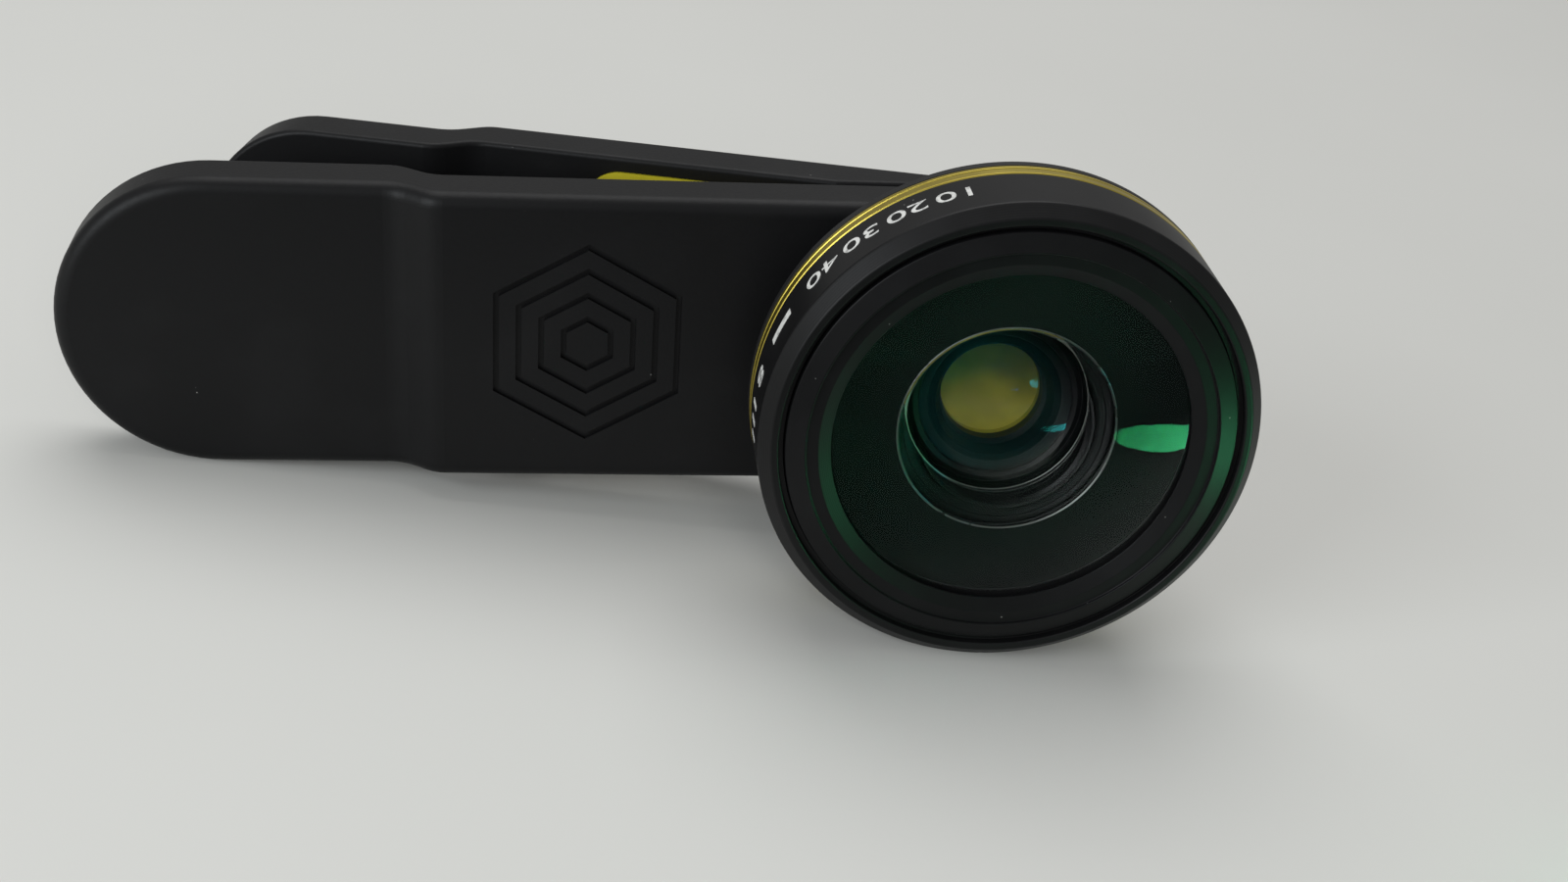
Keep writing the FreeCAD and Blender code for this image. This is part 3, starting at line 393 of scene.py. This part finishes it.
turned("lock_ring", rounded(
    (MIDDLE_CLEAR, MIDDLE_FRONT, FINE), (MIDDLE_RADIUS, MIDDLE_FRONT, FINE), (MIDDLE_RADIUS, 6.9, FINE),
    (7.2, 6.9, FINE), (MIDDLE_CLEAR, 6.5, FINE)), RING_BLACK, ("middle_lock_ring",))

# The cone's inside rises in fine stairs that catch stray light
STAIR_DROP, CONE_SLOPE = 0.12, 0.5096
stairs = [(radius, 7.54 + CONE_SLOPE * (radius - MIDDLE_RADIUS) - drop, 0.03)
          for radius in np.linspace(11.45, 8.05, 12) for drop in (0.0, STAIR_DROP)]
turned("ridged_cone", rounded(
    (MIDDLE_RADIUS, 6.94, FINE), (13.86, 8.84, FINE), (13.86, SPIGOT_FRONT, FINE),
    (WEB_RADIUS, SPIGOT_FRONT, FINE), *stairs, (MIDDLE_RADIUS, 7.44, FINE)), INNER_BLACK, ("baffle_cone",))

# The front glass is painted black round its hollow, and the hollow's ground edge is left bare
turned("glass_paint", rounded(
    (6.76, 9.93, 0.02), (11.55, 9.93, 0.02), (11.55, 9.99, 0.02), (6.76, 9.99, 0.02)), INNER_BLACK)
turned("bright_edge", rounded(
    (6.58, 9.86, 0.01), (6.62, 9.82, 0.01), (6.75, 9.95, 0.01), (6.71, 9.99, 0.01)), BARE_EDGE)

glass_pieces = [
    turned("front_dome", lens_section(
        curved_face(HOLLOW_RADIUS, GLASS_BACK, HOLLOW_HEIGHT, -1),
        straight_edge((HOLLOW_RADIUS, GLASS_BACK), (GLASS_RADIUS, GLASS_BACK), (GLASS_RADIUS, GLASS_STEP),
                      (GLASS_CLEAR, GLASS_STEP), (GLASS_CLEAR, GLASS_RIM)),
        curved_face(GLASS_CLEAR, GLASS_RIM, DOME_HEIGHT, 1)), FRONT_GLASS, ("front_element",)),
    turned("inner_lens", lens_section(
        curved_face(MIDDLE_RADIUS, MIDDLE_BACK, NEARLY_FLAT, -1),
        straight_edge((MIDDLE_RADIUS, MIDDLE_BACK), (MIDDLE_RADIUS, MIDDLE_FRONT),
                      (MIDDLE_CLEAR, MIDDLE_FRONT)),
        curved_face(MIDDLE_CLEAR, MIDDLE_FRONT, -1.08, 1)), MIDDLE_GLASS, ("middle_element",)),
    turned("rear_lens", lens_section(
        curved_face(DOUBLET_RADIUS, DOUBLET_BACK, NEARLY_FLAT, -1),
        straight_edge((DOUBLET_RADIUS, DOUBLET_BACK), (DOUBLET_RADIUS, DOUBLET_FRONT)),
        curved_face(DOUBLET_RADIUS, DOUBLET_FRONT, 1.31, 1)), REAR_GLASS, ("doublet_crown", "doublet_flint")),
]
for piece in glass_pieces:
    piece.visible_shadow = False


# Marks on the barrel's wall
MARK_RADIUS, MARK_DEPTH, MARK_HEIGHT, INK = 16.31, 10.5, 1.4, 0.012
CAPITAL_SHARE = 0.72    # a figure's height in its font size


def wrap_on_wall(flat, angle):
    """Lays flat marks on the wall: x runs along the arc, y towards the rim and z outwards, so that
    t = angle + x / MARK_RADIUS, r = MARK_RADIUS + z and the depth is MARK_DEPTH + y."""
    turn = math.radians(angle) + flat[:, 0] / MARK_RADIUS
    reach = (MARK_RADIUS + flat[:, 2]) * MM
    return np.stack([AXIS_X + reach * np.cos(turn), FACE_Y - (MARK_DEPTH + flat[:, 1]) * MM,
                     AXIS_Z + reach * np.sin(turn)], axis=1)


def add_wall_number(number, angle, stretch=1.5):
    """A number as raised ink on the wall, its middle at an angle in degrees. It reads from behind."""
    curve = bpy.data.curves.new("number", "FONT")
    curve.body, curve.size, curve.extrude = str(number), MARK_HEIGHT / CAPITAL_SHARE, INK
    curve.align_x = "CENTER"
    digits = bpy.data.objects.new("number", curve)
    mesh = digits.to_mesh()
    flat = np.empty(len(mesh.vertices) * 3)
    mesh.vertices.foreach_get("co", flat)
    faces = [tuple(face.vertices) for face in mesh.polygons]
    digits.to_mesh_clear()
    bpy.data.objects.remove(digits)
    flat = flat.reshape(-1, 3) * (stretch, 1, 1) - (0, MARK_HEIGHT / 2, 0)
    add_mesh(f"number_{number}", wrap_on_wall(flat, angle), None, faces, WHITE_INK)


def add_tick(angle, width=0.35, height=MARK_HEIGHT, steps=7):
    """A short bar of ink on the wall, bent with it."""
    across = np.linspace(-width / 2, width / 2, steps)
    ring = np.array([(-height / 2, -INK), (height / 2, -INK), (height / 2, INK), (-height / 2, INK)])
    flat = np.column_stack([np.repeat(across, 4), np.tile(ring, (steps, 1))])
    last = 4 * (steps - 1)
    faces = [(4 * i + k, 4 * i + (k + 1) % 4, 4 * i + 4 + (k + 1) % 4, 4 * i + 4 + k)
             for i in range(steps - 1) for k in range(4)]
    faces += [(3, 2, 1, 0), (last, last + 1, last + 2, last + 3)]
    add_mesh(f"tick_{angle:.0f}", wrap_on_wall(flat, angle), None, faces, WHITE_INK)


for number, angle in zip((10, 20, 30, 40), (113, 124.5, 136, 147.5)):
    add_wall_number(number, angle)
add_tick(163, width=2.4, height=0.7)
add_wall_number(8, 176)
for angle in (183, 187, 191):
    add_tick(angle)


# Floor, light and camera
def add_floor():
    """The pale floor. Painted shade: in reflections its part ahead of the object is painted near black,
    standing for the dark room in front; the camera sees it pale.
    """
    reach = 2.0
    mesh = bpy.data.meshes.new("floor")
    mesh.from_pydata([(-reach, -reach, 0), (reach, -reach, 0), (reach, reach, 0), (-reach, reach, 0)], [],
                     [(0, 1, 2, 3)])
    floor = bpy.data.objects.new("floor", mesh)
    bpy.context.scene.collection.objects.link(floor)
    finish = Finish("floor", IOR=1.4, Roughness=0.8, Specular_IOR_Level=0.2)
    x, y, z = finish.axes()
    seen = finish.node("ShaderNodeLightPath", output="Is Camera Ray")
    # painted shade, seen only in reflections: ahead of the object the floor turns near black for every ray
    # but the camera's
    ahead = y.ramp(-0.060, -0.030, 1.0, 0.0) * x.ramp(-0.09, -0.03)
    paper = finish.mix(finish.noise(14.0, 3.0), (0.60, 0.60, 0.575), (0.64, 0.64, 0.615))
    colour = finish.mix(ahead * (1.0 - seen), paper, (0.05, 0.05, 0.05))
    mesh.materials.append(finish.feed(Base_Color=colour))


def add_lamp(name, place, towards, width, height, watts, colour=(1.0, 1.0, 1.0), hidden=(),
             shape="RECTANGLE"):
    """A soft flat lamp. hidden names the kinds of ray that don't see it."""
    lamp = bpy.data.lights.new(name, "AREA")
    lamp.shape = shape
    lamp.size, lamp.size_y, lamp.energy, lamp.color = width, height, watts, colour
    item = bpy.data.objects.new(name, lamp)
    item.location = place
    item.rotation_euler = (Vector(towards) - Vector(place)).to_track_quat("-Z", "Y").to_euler()
    for kind in hidden:
        setattr(item, f"visible_{kind}", False)
    bpy.context.scene.collection.objects.link(item)


def add_world(level):
    world = bpy.data.worlds.new("room")
    world.use_nodes = True
    world.node_tree.nodes["Background"].inputs["Color"].default_value = (level, level, level * 0.99, 1.0)
    bpy.context.scene.world = world


# The photograph's viewpoint: place in millimetres, and in radians the bearing from +Y towards +X, the angle
# down and the roll
VIEW_PLACE = (-14.157, -133.134, 75.948)
VIEW_BEARING, VIEW_DIP, VIEW_ROLL = 0.1865, math.radians(26.87), math.radians(11.32)
FOCAL_WIDTHS = 2200.0 / 1600.0    # focal length in picture widths


def add_camera():
    """The camera at the photograph's viewpoint, rolled so that level lines fall to the right."""
    data = bpy.data.cameras.new("camera")
    data.sensor_width = 36.0
    data.lens = FOCAL_WIDTHS * data.sensor_width
    data.clip_start = 0.005
    camera = bpy.data.objects.new("camera", data)
    bearing, dip, roll = VIEW_BEARING, VIEW_DIP, VIEW_ROLL
    forward = Vector((math.sin(bearing) * math.cos(dip), math.cos(bearing) * math.cos(dip), -math.sin(dip)))
    level = forward.cross(Vector((0, 0, 1))).normalized()
    lift = level.cross(forward)
    right = level * math.cos(roll) + lift * math.sin(roll)
    up = lift * math.cos(roll) - level * math.sin(roll)
    turn = Matrix((right, up, -forward)).transposed().to_4x4()
    camera.matrix_world = Matrix.Translation(Vector(VIEW_PLACE) * MM) @ turn
    bpy.context.scene.collection.objects.link(camera)
    bpy.context.scene.camera = camera


add_floor()
add_world(0.31)
add_lamp("above", (-0.05, 0.25, 0.70), (0.0, 0.0, 0.0), 0.70, 0.60, 3.3)
add_lamp("window", (-0.40, -0.34, 0.20), (0.0, 0.0, 0.02), 0.30, 0.34, 1.9, (0.92, 0.97, 1.0),
         ("transmission",))
add_lamp("ahead", (0.02, -0.36, 0.19), (0.02, 0.0, 0.016), 0.10, 0.10, 0.3,
         hidden=("glossy", "transmission"))
add_lamp("green_glint", (0.063, -0.037, 0.005), (0.030, -0.015, 0.0163), 0.025, 0.0065, 0.0075,
         (0.1, 1.0, 0.4), ("camera", "diffuse", "transmission"), "ELLIPSE")
add_lamp("cyan_glint", (0.080, -0.0335, 0.018), (0.030, -0.012, 0.0163), 0.055, 0.007, 0.012,
         (0.05, 0.9, 1.0), ("camera", "diffuse", "glossy"))
add_camera()
bpy.context.scene.view_settings.view_transform = "Standard"
